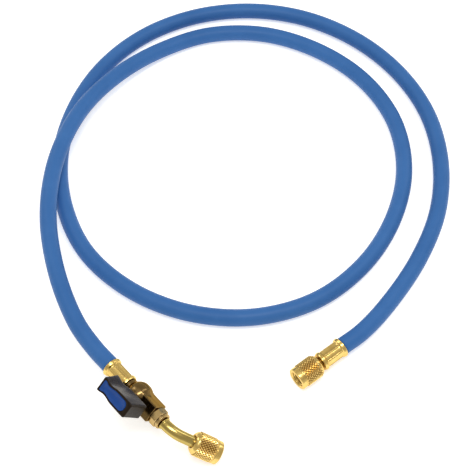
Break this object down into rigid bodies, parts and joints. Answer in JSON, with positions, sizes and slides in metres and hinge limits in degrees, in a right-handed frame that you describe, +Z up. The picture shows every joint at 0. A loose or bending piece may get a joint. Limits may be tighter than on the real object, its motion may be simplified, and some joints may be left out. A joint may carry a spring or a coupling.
{
  "type": "refrigerant charging hose",
  "caption": "Blue refrigerant charging hose lying in a loose coil, with a straight knurled swivel fitting at one end and a quarter-turn ball valve and bent swivel fitting at the other.",
  "frame": {"origin": "on the floor, under the middle of the whole coiled assembly's box", "axes": "+Z up from the floor; -Y towards the two fittings; +X towards the outer turn's free side"},
  "size_m": [0.3138, 0.4096, 0.0506],
  "materials": {
    "hose_rubber": "smooth satin rubber cover, plain blue",
    "knurled_brass": "bright turned brass, diamond knurl on the nuts",
    "valve_brass": "darker bright brass with soft machined faces",
    "seal_rubber": "dull black rubber",
    "seat_plastic": "white low-friction plastic",
    "ball_steel": "polished plating",
    "handle_plastic": "glossy black moulding",
    "insert_plastic": "semi-gloss blue insert"
  },
  "bodies": {
    "root": {"hose": "hose_rubber", "straight_end_ferrule": "knurled_brass", "straight_end_stem": "valve_brass", "straight_end_seal": "seal_rubber", "valve_end_ferrule": "knurled_brass", "valve_body": "valve_brass", "ball_seat_hose_side": "seat_plastic", "ball_seat_tube_side": "seat_plastic", "hex_adapter": "valve_brass", "bent_tube": "knurled_brass", "valve_end_seal": "seal_rubber"},
    "lever": {"valve_ball": "ball_steel", "valve_stem": "valve_brass", "valve_handle": "handle_plastic", "handle_insert": "insert_plastic"},
    "straight_nut": {"straight_swivel_nut": "knurled_brass"},
    "valve_nut": {"valve_swivel_nut": "knurled_brass"}
  },
  "joints": [
    {"name": "lever_turn", "type": "hinge", "parent": "root", "child": "lever", "pos_m": [-0.07469, -0.16238, 0.02207], "axis": [-0.4713, -0.3607, 0.8048], "range_deg": [0, 90]},
    {"name": "straight_nut_spin", "type": "hinge", "parent": "root", "child": "straight_nut", "pos_m": [0.04909, -0.13186, 0.0086], "axis": [-0.7891, -0.6143, 0], "continuous": true},
    {"name": "valve_nut_spin", "type": "hinge", "parent": "root", "child": "valve_nut", "pos_m": [-0.0381, -0.19255, 0.01665], "axis": [0.849, -0.2277, -0.4769], "continuous": true}
  ]
}
